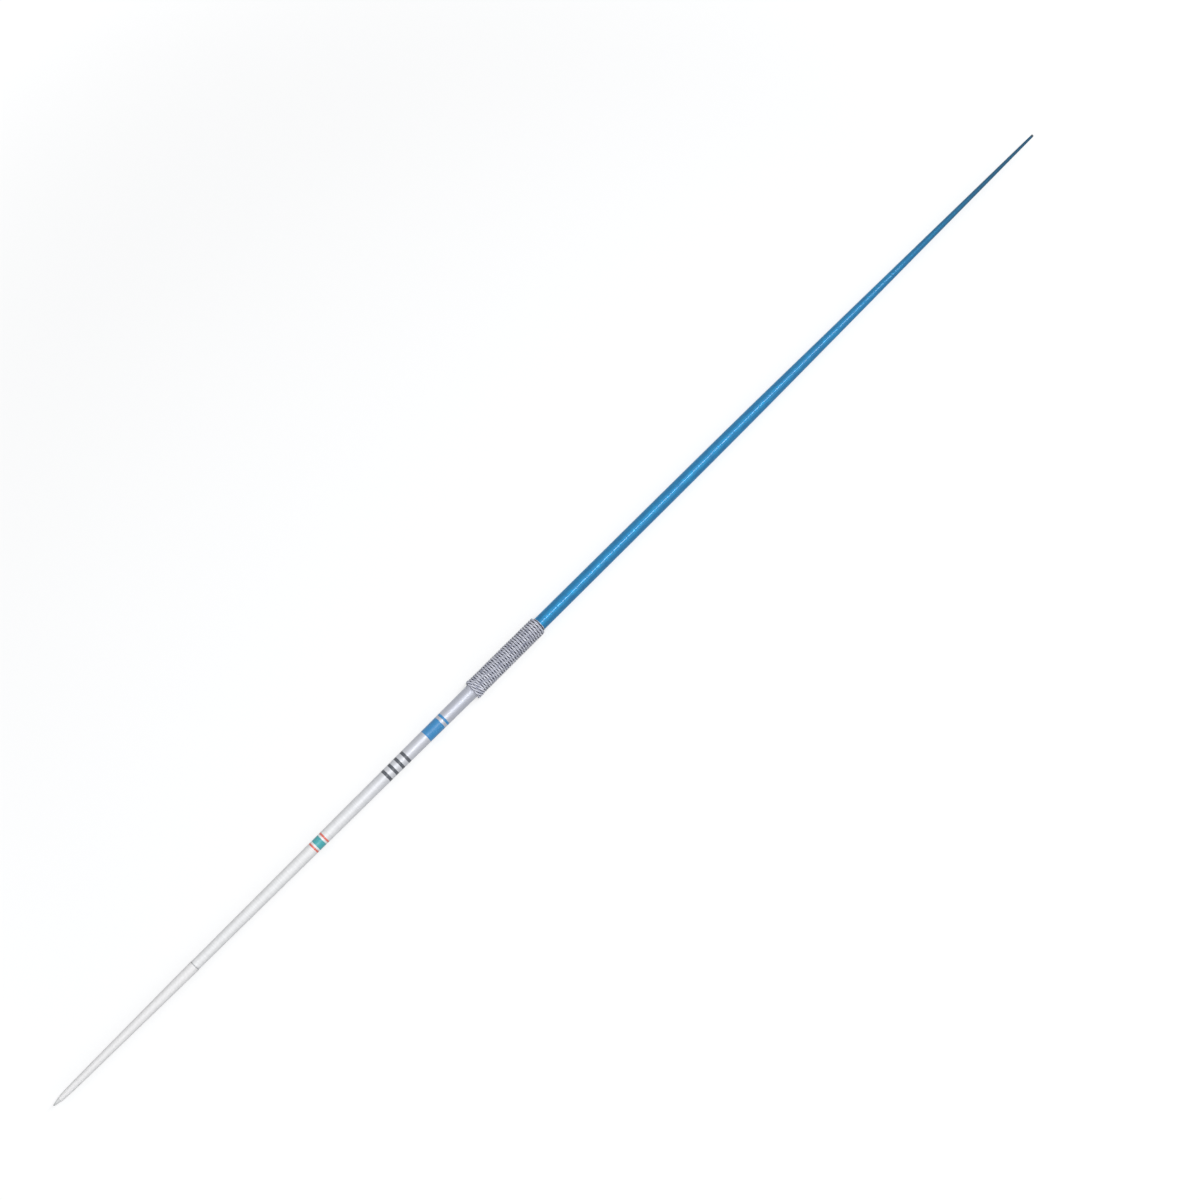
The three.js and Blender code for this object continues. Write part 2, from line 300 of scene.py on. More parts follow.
# Head: one piece of turned steel, bored from behind to a thin wall. It swells behind the point
# and then tapers straight out to the rear lip, and the shaft's neck is glued into it.
BOND_GAP = 0.1
HEAD_LENGTH = 259.0
HEAD_REAR_RADIUS = 8.35
HEAD_FRONT_EDGE = 0.25
BELLY_CORNER = 27.0
BELLY_END = 42.0
BELLY_RADIUS = 5.25
BEND_STEPS = 24
LIP_ROUND = 0.6
HEAD_WALL = 1.3
BORE_START = 60.0
DRILL_POINT_SHARE = 0.6
DRILL_TIP = 0.1
TOOL_RINGS = 900
TOOL_RING_RUNS = 6
LACQUER_CLOUDS = 30
LACQUER_CLOUDS_ACROSS = 90


def bent_line(start, corner, end):
    """Points of a smooth stretch of an outline that leaves and arrives towards a corner point."""
    points = []
    for step in range(BEND_STEPS + 1):
        share = step / BEND_STEPS
        a, b, c = (1 - share) ** 2, 2 * share * (1 - share), share ** 2
        points.append((
            a * start[0] + b * corner[0] + c * end[0],
            a * start[1] + b * corner[1] + c * end[1],
        ))
    return points


def head_radius(station):
    """Radius of the head's straight taper."""
    share = (station - BELLY_END) / (HEAD_LENGTH - BELLY_END)
    return BELLY_RADIUS + (HEAD_REAR_RADIUS - BELLY_RADIUS) * share


head_front = NOSE_LENGTH + BOND_GAP
pocket_end = STUD_END + BOND_GAP
pocket_radius = STUD_RADIUS + BOND_GAP
bore_radius = head_radius(BORE_START) - HEAD_WALL
head = turned("head_cone", [
    (pocket_end, STUD_RADIUS * 0.6), (pocket_end, pocket_radius),
    (head_front, pocket_radius), (head_front, NOSE_RADIUS - HEAD_FRONT_EDGE),
    *bent_line(
        (head_front + HEAD_FRONT_EDGE, NOSE_RADIUS), (BELLY_CORNER, head_radius(BELLY_CORNER)),
        (BELLY_END, BELLY_RADIUS),
    ),
    (HEAD_LENGTH - LIP_ROUND, head_radius(HEAD_LENGTH - LIP_ROUND)),
    (HEAD_LENGTH - LIP_ROUND / 3, HEAD_REAR_RADIUS - LIP_ROUND / 5),
    (HEAD_LENGTH, HEAD_REAR_RADIUS - LIP_ROUND * 2 / 3),
    (HEAD_LENGTH, HEAD_REAR_RADIUS - HEAD_WALL),
    (BORE_START, bore_radius), (BORE_START - bore_radius * DRILL_POINT_SHARE, DRILL_TIP),
])

# Steel off the lathe under a thin matt silver lacquer, which scatters nearly all the light. The
# tool left faint rings that show through, drawn at a millimetre instead of a tenth to be seen.
turned_steel = new_material("turned_satin_steel")
tree = turned_steel.node_tree
place = add_node(tree, "ShaderNodeTexCoord").outputs["Object"]
rings_scale = add_node(tree, "ShaderNodeMapping", {
    "Scale": (TOOL_RINGS, TOOL_RING_RUNS, TOOL_RING_RUNS),
}, {"Vector": place})
rings = add_node(tree, "ShaderNodeTexNoise", {"Scale": 1.0, "Detail": 4.0, "Roughness": 0.65}, {
    "Vector": rings_scale.outputs[0],
})
clouds_scale = add_node(tree, "ShaderNodeMapping", {
    "Scale": (LACQUER_CLOUDS, LACQUER_CLOUDS_ACROSS, LACQUER_CLOUDS_ACROSS),
}, {"Vector": place})
clouds = add_node(tree, "ShaderNodeTexNoise", {"Scale": 1.0, "Detail": 5.0}, {
    "Vector": clouds_scale.outputs[0],
})
along = add_node(tree, "ShaderNodeSeparateXYZ", (), {0: place})
lip = add_node(tree, "ShaderNodeMapRange", {
    "From Min": x_at(HEAD_LENGTH - LIP_ROUND - 0.1), "From Max": x_at(HEAD_LENGTH),
}, {"Value": along.outputs["X"]})
tone = add_node(tree, "ShaderNodeMix", {
    "data_type": "RGBA", "A": paint("e6e6e7"), "B": paint("d8d8d9"),
}, {"Factor": rings.outputs["Fac"]})
tone_at_lip = add_node(tree, "ShaderNodeMix", {"data_type": "RGBA", "B": paint("c0c1c2")}, {
    "Factor": lip.outputs["Result"], "A": tone.outputs["Result"],
})
gloss = add_node(tree, "ShaderNodeMapRange", {"To Min": 0.52, "To Max": 0.68}, {
    "Value": clouds.outputs["Fac"],
})
relief = add_node(tree, "ShaderNodeBump", {"Strength": 0.3, "Distance": 0.05 * MM}, {
    "Height": rings.outputs["Fac"],
})
steel = add_node(tree, "ShaderNodeBsdfPrincipled", {
    "Metallic": 0.07, "Specular IOR Level": 0.18,
}, {
    "Base Color": tone_at_lip.outputs["Result"], "Roughness": gloss.outputs["Result"],
    "Normal": relief.outputs["Normal"],
})
add_node(tree, "ShaderNodeOutputMaterial", (), {"Surface": steel.outputs[0]})
head.data.materials.append(turned_steel)
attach(head, "root")
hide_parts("head")


# Front shaft: a drawn aluminium tube with a tapered neck in the head and one long taper out to
# the grip. Its small shoulder stands behind an open seam, where adhesive and dirt collect.
GRIP_FRONT = 821.0
GRIP_REAR = 968.0
JOINT = 894.5
JOINT_GAP = 0.3
SHAFT_RADIUS = 11.45
SHAFT_WALL = 1.55
SHOULDER = 259.3
SHOULDER_RADIUS = 7.8
SHOULDER_ROUND = 0.4
NECK_LENGTH = 55.0
NECK_CHAMFER = 0.3
BORE_NARROWS = 8.0
TAPER_START = 260.0
TAPER_END = 820.0
TAPER_STEPS = 12
HANDLED_START = 460.0
SATIN_LINES = 620
SATIN_LINE_RUNS = 14
RUBBED_CLOUDS = 18
RUBBED_CLOUDS_ACROSS = 60


def front_shaft_radius(station):
    """Radius of the front shaft between its shoulder and the grip."""
    share = (station - SHOULDER) / (GRIP_FRONT - SHOULDER)
    return SHOULDER_RADIUS + (SHAFT_RADIUS - SHOULDER_RADIUS) * share


neck_front = SHOULDER - NECK_LENGTH
neck_radius = head_radius(neck_front) - HEAD_WALL - BOND_GAP
neck_rear_radius = head_radius(SHOULDER) - HEAD_WALL - BOND_GAP
bore_start = SHOULDER + BORE_NARROWS
tube_end = JOINT - JOINT_GAP / 2
taper_step = (TAPER_END - TAPER_START) / TAPER_STEPS
stretches = [TAPER_START + taper_step * step for step in range(TAPER_STEPS + 1)]
front_shaft = turned("front_tube", [
    (neck_front, neck_radius - SHAFT_WALL), (neck_front, neck_radius - NECK_CHAMFER),
    (neck_front + NECK_CHAMFER, neck_radius), (SHOULDER, neck_rear_radius),
    (SHOULDER, SHOULDER_RADIUS - SHOULDER_ROUND),
    (SHOULDER + SHOULDER_ROUND * 0.3, SHOULDER_RADIUS - SHOULDER_ROUND * 0.35),
    (SHOULDER + SHOULDER_ROUND, SHOULDER_RADIUS),
    *[(station, front_shaft_radius(station)) for station in stretches],
    (tube_end, SHAFT_RADIUS), (tube_end, SHAFT_RADIUS - SHAFT_WALL),
    (GRIP_FRONT, SHAFT_RADIUS - SHAFT_WALL),
    (bore_start, front_shaft_radius(bore_start) - SHAFT_WALL),
    (SHOULDER, neck_rear_radius - SHAFT_WALL), (neck_front, neck_radius - SHAFT_WALL),
])

# Satin silver anodised aluminium. The tube was linished across before it was anodised, so fine
# cross lines show all along it, drawn 1.6 mm apart to be seen, and the milky oxide film scatters
# much of the light. Hands have rubbed it barer, smoother and greyer in front of the grip, and a
# little dirt sits at the seam.
satin_aluminium = new_material("satin_silver_anodised_aluminium")
tree = satin_aluminium.node_tree
place = add_node(tree, "ShaderNodeTexCoord").outputs["Object"]
lines_scale = add_node(tree, "ShaderNodeMapping", {
    "Scale": (SATIN_LINES, SATIN_LINE_RUNS, SATIN_LINE_RUNS),
}, {"Vector": place})
lines = add_node(tree, "ShaderNodeTexNoise", {"Scale": 1.0, "Detail": 5.0, "Roughness": 0.7}, {
    "Vector": lines_scale.outputs[0],
})
clouds_scale = add_node(tree, "ShaderNodeMapping", {
    "Scale": (RUBBED_CLOUDS, RUBBED_CLOUDS_ACROSS, RUBBED_CLOUDS_ACROSS),
}, {"Vector": place})
clouds = add_node(tree, "ShaderNodeTexNoise", {"Scale": 1.0, "Detail": 4.0}, {
    "Vector": clouds_scale.outputs[0],
})
along = add_node(tree, "ShaderNodeSeparateXYZ", (), {0: place})
seam_dirt = add_node(tree, "ShaderNodeMapRange", {
    "From Min": x_at(SHOULDER + 0.1), "From Max": x_at(TAPER_START + 0.3),
    "To Min": 0.3, "To Max": 0.0,
}, {"Value": along.outputs["X"]})
line_share = add_node(tree, "ShaderNodeMapRange", {"From Min": 0.3, "From Max": 0.7}, {
    "Value": lines.outputs["Fac"],
})
tone = add_node(tree, "ShaderNodeMix", {
    "data_type": "RGBA", "A": paint("e3e4e5"), "B": paint("d4d5d7"),
}, {"Factor": line_share.outputs["Result"]})
handled = add_node(tree, "ShaderNodeMapRange", {
    "interpolation_type": "SMOOTHSTEP",
    "From Min": x_at(HANDLED_START), "From Max": x_at(TAPER_END),
}, {"Value": along.outputs["X"]})
tone_handled = add_node(tree, "ShaderNodeMix", {"data_type": "RGBA", "B": paint("acafb9")}, {
    "Factor": handled.outputs["Result"], "A": tone.outputs["Result"],
})
tone_dirty = add_node(tree, "ShaderNodeMix", {"data_type": "RGBA", "B": paint("6c7078")}, {
    "Factor": seam_dirt.outputs["Result"], "A": tone_handled.outputs["Result"],
})
satin = add_node(tree, "ShaderNodeMapRange", {"To Min": 0.5, "To Max": 0.64}, {
    "Value": clouds.outputs["Fac"],
})
gloss = add_node(tree, "ShaderNodeMath", {"operation": "MULTIPLY_ADD", 1: -0.12}, {
    0: handled.outputs["Result"], 2: satin.outputs["Result"],
})
relief = add_node(tree, "ShaderNodeBump", {"Strength": 0.3, "Distance": 0.06 * MM}, {
    "Height": lines.outputs["Fac"],
})
bare_share = add_node(tree, "ShaderNodeMapRange", {"To Min": 0.1, "To Max": 0.6}, {
    "Value": handled.outputs["Result"],
})
silver = add_node(tree, "ShaderNodeBsdfPrincipled", {"Specular IOR Level": 0.2}, {
    "Base Color": tone_dirty.outputs["Result"], "Roughness": gloss.outputs[0],
    "Metallic": bare_share.outputs["Result"], "Normal": relief.outputs["Normal"],
})
add_node(tree, "ShaderNodeOutputMaterial", (), {"Surface": silver.outputs[0]})
front_shaft.data.materials.append(satin_aluminium)
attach(front_shaft, "root")
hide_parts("front_shaft")


# Printed rings: plain bands of enamel screen-printed round the front shaft, each a film a few
# hundredths of a millimetre thick that stands a little proud of the tube.
INK_FILM = 0.07
INK_EDGE = 0.05
INK_EDGE_RISE = 0.01
PINHOLES = 900
TEAL_BAND = (495, 507)
CORAL_FRONTS = (489, 510)
CORAL_WIDTH = 3
GREY_FRONTS = (637, 650, 663, 676)
GREY_WIDTH = 5
BLUE_BAND = (722, 752)
BLUE_RING = (757, 761)


def printed_ring(name, front, rear, ink):
    """One printed band between two stations, in the colour of a material."""
    start = (front, front_shaft_radius(front) + INK_EDGE_RISE)
    ring = turned(name, [
        start,
        (front + INK_EDGE, front_shaft_radius(front) + INK_FILM),
        (rear - INK_EDGE, front_shaft_radius(rear) + INK_FILM),
        (rear, front_shaft_radius(rear) + INK_EDGE_RISE),
        start,
    ])
    ring.data.materials.append(ink)
    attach(ring, "root")
    return ring


def enamel(name, colour_hex, worn_hex):
    """Screen-print enamel: a smooth satin skin with pinholes where the metal shows through."""
    ink = new_material(name)
    tree = ink.node_tree
    place = add_node(tree, "ShaderNodeTexCoord").outputs["Object"]
    specks = add_node(tree, "ShaderNodeTexNoise", {"Scale": PINHOLES, "Detail": 3.0}, {
        "Vector": place,
    })
    worn = add_node(tree, "ShaderNodeMapRange", {"From Min": 0.62, "From Max": 0.75}, {
        "Value": specks.outputs["Fac"],
    })
    tone = add_node(tree, "ShaderNodeMix", {
        "data_type": "RGBA", "A": paint(colour_hex), "B": paint(worn_hex),
    }, {"Factor": worn.outputs["Result"]})
    relief = add_node(tree, "ShaderNodeBump", {"Strength": 0.2, "Distance": 0.02 * MM}, {
        "Height": specks.outputs["Fac"],
    })
    skin = add_node(tree, "ShaderNodeBsdfPrincipled", {"Roughness": 0.34}, {
        "Base Color": tone.outputs["Result"], "Normal": relief.outputs["Normal"],
    })
    add_node(tree, "ShaderNodeOutputMaterial", (), {"Surface": skin.outputs[0]})
    return ink


teal_enamel = enamel("teal_enamel", "3f9fa6", "8fb9bd")
coral_enamel = enamel("coral_enamel", "d4695c", "dba39b")
grey_enamel = enamel("dark_grey_enamel", "4a4e56", "8a8e95")
blue_enamel = enamel("blue_enamel", "2f7fb6", "7fabc9")
printed_ring("band_teal", *TEAL_BAND, teal_enamel)
for number, front in enumerate(CORAL_FRONTS, 1):
    printed_ring(f"ring_coral_{number}", front, front + CORAL_WIDTH, coral_enamel)
for number, front in enumerate(GREY_FRONTS, 1):
    ring = printed_ring(f"ring_grey_{number}", front, front + GREY_WIDTH, grey_enamel)
printed_ring("band_blue", *BLUE_BAND, blue_enamel)
printed_ring("ring_blue", *BLUE_RING, blue_enamel)


# Rear shaft: a drawn aluminium tube in blue. It runs straight behind the grip, bends slowly
# inwards and then tapers in a straight cone to the thin tail.
TAIL_TUBE_END = 2246.2
TAIL_RADIUS = 2.4
TAIL_EDGE = 0.2
TAIL_EDGE_DROP = 0.15
BEND_START = 1200.0
CONE_START = 1540.0
CONE_RADIUS = 10.15
CONE_STEPS = 12
TAIL_SHADE_STARTS = 1750.0
TAIL_SHADE_FULL = 2230.0
DYE_CLOUDS = 60
DYE_CLOUDS_ACROSS = 130
BLUE_LINES = 2600
BLUE_LINE_RUNS = 16

taper = (CONE_RADIUS - TAIL_RADIUS) / (TAIL_TUBE_END - CONE_START)
bend_corner = CONE_START - (SHAFT_RADIUS - CONE_RADIUS) / taper
cone_step = (TAIL_TUBE_END - TAIL_EDGE - CONE_START) / CONE_STEPS
cone = [CONE_START + cone_step * step for step in range(1, CONE_STEPS + 1)]
outside = [(JOINT + JOINT_GAP / 2, SHAFT_RADIUS)]
outside += bent_line(
    (BEND_START, SHAFT_RADIUS), (bend_corner, SHAFT_RADIUS), (CONE_START, CONE_RADIUS),
)
outside += [(station, CONE_RADIUS - (station - CONE_START) * taper) for station in cone]
inside = [(station, radius - SHAFT_WALL) for station, radius in reversed(outside)]
outside += [(TAIL_TUBE_END, TAIL_RADIUS - TAIL_EDGE_DROP)]
outside += [(TAIL_TUBE_END, TAIL_RADIUS - SHAFT_WALL)]
rear_shaft = turned("rear_tube", [*outside, *inside, outside[0]])

# Blue anodised aluminium: a clean, deep metallic blue. A hard, glossy sealed film draws one thin
# pale highlight over the satin metal, whose fine cross lines are partly polished. The dye took
# unevenly, in soft lighter and darker clouds, and towards the thin tail it is painted darker, as
# shade.
blue_anodised = new_material("blue_anodised_aluminium")
tree = blue_anodised.node_tree
place = add_node(tree, "ShaderNodeTexCoord").outputs["Object"]
clouds_scale = add_node(tree, "ShaderNodeMapping", {
    "Scale": (DYE_CLOUDS, DYE_CLOUDS_ACROSS, DYE_CLOUDS_ACROSS),
}, {"Vector": place})
clouds = add_node(tree, "ShaderNodeTexNoise", {"Scale": 1.0, "Detail": 6.0, "Roughness": 0.6}, {
    "Vector": clouds_scale.outputs[0],
})
lines_scale = add_node(tree, "ShaderNodeMapping", {
    "Scale": (BLUE_LINES, BLUE_LINE_RUNS, BLUE_LINE_RUNS),
}, {"Vector": place})
lines = add_node(tree, "ShaderNodeTexNoise", {"Scale": 1.0, "Detail": 4.0}, {
    "Vector": lines_scale.outputs[0],
})
cloud_share = add_node(tree, "ShaderNodeMapRange", {"From Min": 0.32, "From Max": 0.68}, {
    "Value": clouds.outputs["Fac"],
})
tone = add_node(tree, "ShaderNodeMix", {
    "data_type": "RGBA", "A": paint("0a6a99"), "B": paint("107ba9"),
}, {"Factor": cloud_share.outputs["Result"]})
along = add_node(tree, "ShaderNodeSeparateXYZ", (), {0: place})
# Painted shade: the blue is mixed towards a darker tone over the last stretch of the tail.
tail_shade_share = add_node(tree, "ShaderNodeMapRange", {
    "interpolation_type": "SMOOTHSTEP",
    "From Min": x_at(TAIL_SHADE_STARTS), "From Max": x_at(TAIL_SHADE_FULL),
}, {"Value": along.outputs["X"]})
tone_shaded_at_tail = add_node(tree, "ShaderNodeMix", {"data_type": "RGBA", "B": paint("104e6c")}, {
    "Factor": tail_shade_share.outputs["Result"], "A": tone.outputs["Result"],
})
gloss = add_node(tree, "ShaderNodeMapRange", {
    "From Min": 0.5, "From Max": 0.6, "To Min": 0.7, "To Max": 0.36,
}, {"Value": lines.outputs["Fac"]})
relief = add_node(tree, "ShaderNodeBump", {"Strength": 0.15, "Distance": 0.04 * MM}, {
    "Height": lines.outputs["Fac"],
})
blue = add_node(tree, "ShaderNodeBsdfPrincipled", {
    "Metallic": 0.97, "Specular Tint": (0.35, 0.75, 1.0, 1.0),
    "Coat Weight": 0.37, "Coat Roughness": 0.04, "Coat IOR": 1.77,
}, {
    "Base Color": tone_shaded_at_tail.outputs["Result"], "Roughness": gloss.outputs["Result"],
    "Normal": relief.outputs["Normal"],
})
add_node(tree, "ShaderNodeOutputMaterial", (), {"Surface": blue.outputs[0]})
rear_shaft.data.materials.append(blue_anodised)
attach(rear_shaft, "root")
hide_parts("rear_shaft")


# Tail plug: a small moulded nylon cap that closes the thin end of the tube. Its pin is glued into
# the bore, and its flat face and softened edge are the last thing on the javelin.
JAVELIN_LENGTH = (cad_box[1][0] - cad_box[0][0]) / MM
PIN_FRONT = 2228.2
PIN_RADIUS = 0.75
CAP_LENGTH = 3.5
CAP_FRONT_EDGE = 0.1
CAP_REAR_ROUND = 0.3
MOULD_GRAINS = 2500

cap_front = JAVELIN_LENGTH - CAP_LENGTH
tail_plug = turned("tail_cap", [
    (PIN_FRONT, PIN_RADIUS), (cap_front, PIN_RADIUS),
    (cap_front, TAIL_RADIUS - CAP_FRONT_EDGE), (cap_front + CAP_FRONT_EDGE, TAIL_RADIUS),
    (JAVELIN_LENGTH - CAP_REAR_ROUND, TAIL_RADIUS),
    (JAVELIN_LENGTH - CAP_REAR_ROUND / 3, TAIL_RADIUS - CAP_REAR_ROUND * 0.27),
    (JAVELIN_LENGTH, TAIL_RADIUS - CAP_REAR_ROUND), (JAVELIN_LENGTH, TAIL_RADIUS / 2),
])

# Dark grey moulded nylon: a fine even grain from the mould, satin and a little scuffed.
grey_nylon = new_material("dark_grey_nylon")
tree = grey_nylon.node_tree
place = add_node(tree, "ShaderNodeTexCoord").outputs["Object"]
grain = add_node(tree, "ShaderNodeTexNoise", {"Scale": MOULD_GRAINS, "Detail": 3.0}, {
    "Vector": place,
})
tone = add_node(tree, "ShaderNodeMix", {
    "data_type": "RGBA", "A": paint("36434b"), "B": paint("525f67"),
}, {"Factor": grain.outputs["Fac"]})
relief = add_node(tree, "ShaderNodeBump", {"Strength": 0.3, "Distance": 0.03 * MM}, {
    "Height": grain.outputs["Fac"],
})
nylon = add_node(tree, "ShaderNodeBsdfPrincipled", {"Roughness": 0.5}, {
    "Base Color": tone.outputs["Result"], "Normal": relief.outputs["Normal"],
})
add_node(tree, "ShaderNodeOutputMaterial", (), {"Surface": nylon.outputs[0]})
tail_plug.data.materials.append(grey_nylon)
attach(tail_plug, "root")
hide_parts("tail_plug")


# Grip tape: a thin cloth tape stuck round the shaft, which keeps the cord from slipping. It ends
# level with the cord in front and just inside its last turn behind, with slightly uneven edges.
TAPE_INNER = 11.55
TAPE_OUTER = 11.85
TAPE_FRONT = GRIP_FRONT - 2.1
TAPE_REAR = GRIP_REAR + 2.2
TAPE_EDGE = 0.15
TAPE_EDGE_DROP = 0.08
TAPE_LEVEL_RUN = 3.0
FRAY_SET_BACK = 0.2
COARSE_FRAY = 0.12
COARSE_FRAY_WAVES = 5
FINE_FRAY = 0.08
FINE_FRAY_WAVES = 13
WEAVE_CELLS = 1800
SOIL_PATCHES = 160

tape_start = (TAPE_FRONT, TAPE_INNER)
grip_tape = turned("cloth_tape", [
    tape_start, (TAPE_FRONT, TAPE_OUTER - TAPE_EDGE_DROP),
    (TAPE_FRONT + TAPE_EDGE, TAPE_OUTER),
    (GRIP_FRONT + TAPE_LEVEL_RUN, TAPE_OUTER), (GRIP_REAR - TAPE_LEVEL_RUN, TAPE_OUTER),
    (TAPE_REAR - TAPE_EDGE, TAPE_OUTER), (TAPE_REAR, TAPE_OUTER - TAPE_EDGE_DROP),
    (TAPE_REAR, TAPE_INNER), tape_start,
])
for vertex in grip_tape.data.vertices:
    angle = math.atan2(vertex.co.y, vertex.co.z - AXIS_HEIGHT)
    fray = COARSE_FRAY * math.sin(COARSE_FRAY_WAVES * angle + 0.4)
    fray += FINE_FRAY * math.sin(FINE_FRAY_WAVES * angle) - FRAY_SET_BACK
    if vertex.co.x < x_at(GRIP_FRONT - 1):
        vertex.co.x -= fray * MM
    elif vertex.co.x > x_at(GRIP_REAR):
        vertex.co.x += fray * MM

# Pale cotton tape: plain weave, drawn at half a millimetre, matt and slightly soiled. Behind the
# cord and under its last turn the tape is painted dark, as shade, and only the rear margin of the
# tape stays pale.
cotton_tape = new_material("pale_cotton_tape")
tree = cotton_tape.node_tree
place = add_node(tree, "ShaderNodeTexCoord").outputs["Object"]
weave = add_node(tree, "ShaderNodeTexVoronoi", {"Scale": WEAVE_CELLS}, {"Vector": place})
soil = add_node(tree, "ShaderNodeTexNoise", {"Scale": SOIL_PATCHES, "Detail": 4.0}, {
    "Vector": place,
})
clean_tone = add_node(tree, "ShaderNodeMix", {
    "data_type": "RGBA", "A": paint("dcdee8"), "B": paint("9a9eb0"),
}, {"Factor": soil.outputs["Fac"]})
along = add_node(tree, "ShaderNodeSeparateXYZ", (), {0: place})
# Painted shade: the tape darkens behind the cord, under its last turn and just past it.
shade_start = add_node(tree, "ShaderNodeMapRange", {
    "From Min": x_at(GRIP_REAR - 8), "From Max": x_at(GRIP_REAR - 4),
}, {"Value": along.outputs["X"]})
shade_end = add_node(tree, "ShaderNodeMapRange", {
    "From Min": x_at(GRIP_REAR + 1), "From Max": x_at(GRIP_REAR + 1.4),
    "To Min": 1.0, "To Max": 0.0,
}, {"Value": along.outputs["X"]})
painted_shade = add_node(tree, "ShaderNodeMath", {"operation": "MULTIPLY"}, {
    0: shade_start.outputs["Result"], 1: shade_end.outputs["Result"],
})
tone = add_node(tree, "ShaderNodeMix", {"data_type": "RGBA", "B": paint("4c4f59")}, {
    "Factor": painted_shade.outputs[0], "A": clean_tone.outputs["Result"],
})
relief = add_node(tree, "ShaderNodeBump", {"Strength": 0.5, "Distance": 0.1 * MM}, {
    "Height": weave.outputs["Distance"],
})
cotton = add_node(tree, "ShaderNodeBsdfPrincipled", {
    "Roughness": 0.9, "Sheen Weight": 0.2, "Sheen Roughness": 0.5,
}, {"Base Color": tone.outputs["Result"], "Normal": relief.outputs["Normal"]})
add_node(tree, "ShaderNodeOutputMaterial", (), {"Surface": cotton.outputs[0]})
grip_tape.data.materials.append(cotton_tape)
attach(grip_tape, "root")
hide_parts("grip_tape")


# Grip cord: a three-strand twisted cord wound tight round the tape from front to rear. The first
# turn is doubled over the cord's own tucked end and stands up as a bead, and the last end is
# pulled under its neighbour. The winding is pressed flat underneath, where the javelin lies.
CORD_INNER = 12.05
CORD_HEIGHT = 3.8
CORD_WIDTH = 4.35
BEAD_WIDTH = 7.1
BEAD_RISE = 0.7
BEAD_SHIFT_TURNS = (0.2, 1.3)
BEAD_END_TURNS = (1.05, 1.4)
BEAD_FRONT = 819.4
WINDING_REAR = 970.6
FIRST_TURN = -0.18
LAST_TURN = 33.0
FRONT_PITCH = 4.18
REAR_PITCH = 4.60
LAY = 26.0
STRANDS = 3
STRAND_HEIGHT_SHARE = 0.28
STRAND_WIDTH_SHARE = 0.24
POINTS_PER_TURN = 72
FLAT_BELOW = math.radians(20)
ROUND_ABOVE = math.radians(60)
END_TUCK = 3.4
FRONT_TUCK_TURN = 0.14
REAR_TUCK_TURN = 0.16
TUCK_FLATTENS = 0.45
TUCK_NARROWS = 0.3
YARNS = 12
YARN_TURNS = 310
FUZZ_GRAINS = 1500
HAND_SOIL_PATCHES = 140
GROOVE_FLOOR = CORD_INNER + 2.05
GROOVE_TOP = CORD_INNER + 3.65


def smooth_step(value, low, high):
    """0 below low, 1 above high, and a smooth rise between."""
    share = min(1.0, max(0.0, (value - low) / (high - low)))
    return share * share * (3 - 2 * share)


def winding_centre(turn):
    """Station of the cord's middle after that many turns, before it is fitted to the grip."""
    bead = (BEAD_WIDTH - CORD_WIDTH) / 2 * smooth_step(turn, *BEAD_SHIFT_TURNS)
    growth = (REAR_PITCH - FRONT_PITCH) * turn ** 2 / (2 * LAST_TURN)
    return FRONT_PITCH * turn + growth + bead


room = WINDING_REAR - BEAD_FRONT - (BEAD_WIDTH + CORD_WIDTH) / 2
fit = room / (winding_centre(LAST_TURN) - winding_centre(FIRST_TURN))
one_round = 2 * math.pi * (CORD_INNER + CORD_HEIGHT / 2)


def strand_point(strand, turn):
    """Place and radius of one strand after that many turns round the grip."""
    angle = 2 * math.pi * turn
    from_down = math.acos(max(-1.0, min(1.0, -math.sin(angle))))
    pressed = smooth_step(from_down, FLAT_BELOW, ROUND_ABOVE)
    bead = 1 - smooth_step(turn, *BEAD_END_TURNS)
    front_end = 1 - smooth_step(turn, FIRST_TURN, FIRST_TURN + FRONT_TUCK_TURN)
    rear_end = smooth_step(turn, LAST_TURN - REAR_TUCK_TURN, LAST_TURN)
    tucked = front_end + rear_end
    height = (CORD_HEIGHT + BEAD_RISE * bead * pressed) * (1 - TUCK_FLATTENS * tucked)
    width = (CORD_WIDTH + (BEAD_WIDTH - CORD_WIDTH) * bead) * (1 - TUCK_NARROWS * tucked)
    strand_radius = min(height * STRAND_HEIGHT_SHARE, width * STRAND_WIDTH_SHARE)
    twist = 2 * math.pi * (one_round * turn / LAY + strand / STRANDS)
    travelled = (winding_centre(turn) - winding_centre(FIRST_TURN)) * fit
    station = BEAD_FRONT + BEAD_WIDTH / 2 + travelled + END_TUCK * (front_end - rear_end)
    station += (width / 2 - strand_radius) * math.cos(twist)
    radius = CORD_INNER + height / 2 + (height / 2 - strand_radius) * math.sin(twist)
    across = -radius * MM * math.cos(angle)
    up = AXIS_HEIGHT + radius * MM * math.sin(angle)
    return (x_at(station), across, up, 1), strand_radius


